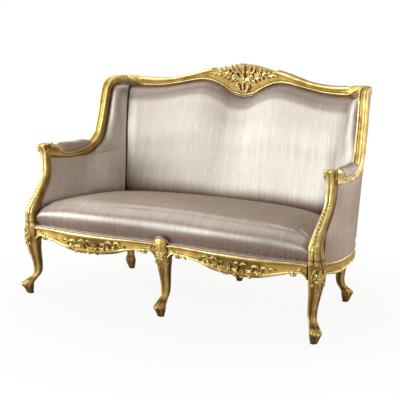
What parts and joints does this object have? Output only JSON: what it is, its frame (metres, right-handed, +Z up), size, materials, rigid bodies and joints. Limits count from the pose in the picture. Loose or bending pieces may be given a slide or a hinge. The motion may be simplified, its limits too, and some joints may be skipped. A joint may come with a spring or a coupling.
{
  "type": "cabriole sofa",
  "caption": "Upholstered settee with a carved serpentine top rail, wings, padded arms and cabriole legs, its frame, joints, webbing and covers as separate parts",
  "frame": {"origin": "middle of the footprint's bounding box, on the floor", "axes": "+X to the sitter's left, which is the right-hand side seen from the front; +Y to the rear; +Z up; metres"},
  "size_m": [1.4776, 0.7811, 1.031],
  "materials": {
    "gilt_wood": "carved hardwood, gilded and antiqued",
    "frame_wood": "plain beech, unfinished inside the upholstery",
    "silk": "slubbed silk in a silvery mauve taupe over foam and wadding",
    "piping": "covered piping cord",
    "webbing": "woven jute webbing and hessian",
    "lining": "black lining cloth",
    "screw_steel": "zinc plated",
    "glide": "dark nail-on glides"
  },
  "bodies": {
    "root": {"leg_front_left": "gilt_wood", "leg_front_middle": "gilt_wood", "leg_front_right": "gilt_wood", "leg_rear_left": "gilt_wood", "leg_rear_middle": "gilt_wood", "leg_rear_right": "gilt_wood", "foot_glides": "glide", "front_rail_left": "gilt_wood", "front_rail_right": "gilt_wood", "side_rail_left": "gilt_wood", "side_rail_right": "gilt_wood", "back_rail_left": "gilt_wood", "back_rail_right": "gilt_wood", "arm_post_left": "gilt_wood", "arm_post_right": "gilt_wood", "arm_rail_left": "gilt_wood", "arm_rail_right": "gilt_wood", "wing_rail_left": "gilt_wood", "wing_rail_right": "gilt_wood", "crest_rail": "gilt_wood", "knee_leaf": "gilt_wood", "back_stile_left": "frame_wood", "back_stile_right": "frame_wood", "back_stile_middle": "frame_wood", "back_tacking_rail": "frame_wood", "seat_stretcher": "frame_wood", "corner_blocks": "frame_wood", "corner_screws": "screw_steel", "frame_dowels": "frame_wood", "seat_webbing": "webbing", "seat_hessian": "webbing", "seat_pad": "silk", "seat_piping": "piping", "back_webbing": "webbing", "back_pad": "silk", "side_pad_left": "silk", "side_pad_right": "silk", "wing_pad_left": "silk", "wing_pad_right": "silk", "arm_pad_left": "silk", "arm_pad_right": "silk", "outer_side_left": "silk", "outer_side_right": "silk", "outer_back": "silk", "dust_cover": "lining"}
  },
  "joints": []
}
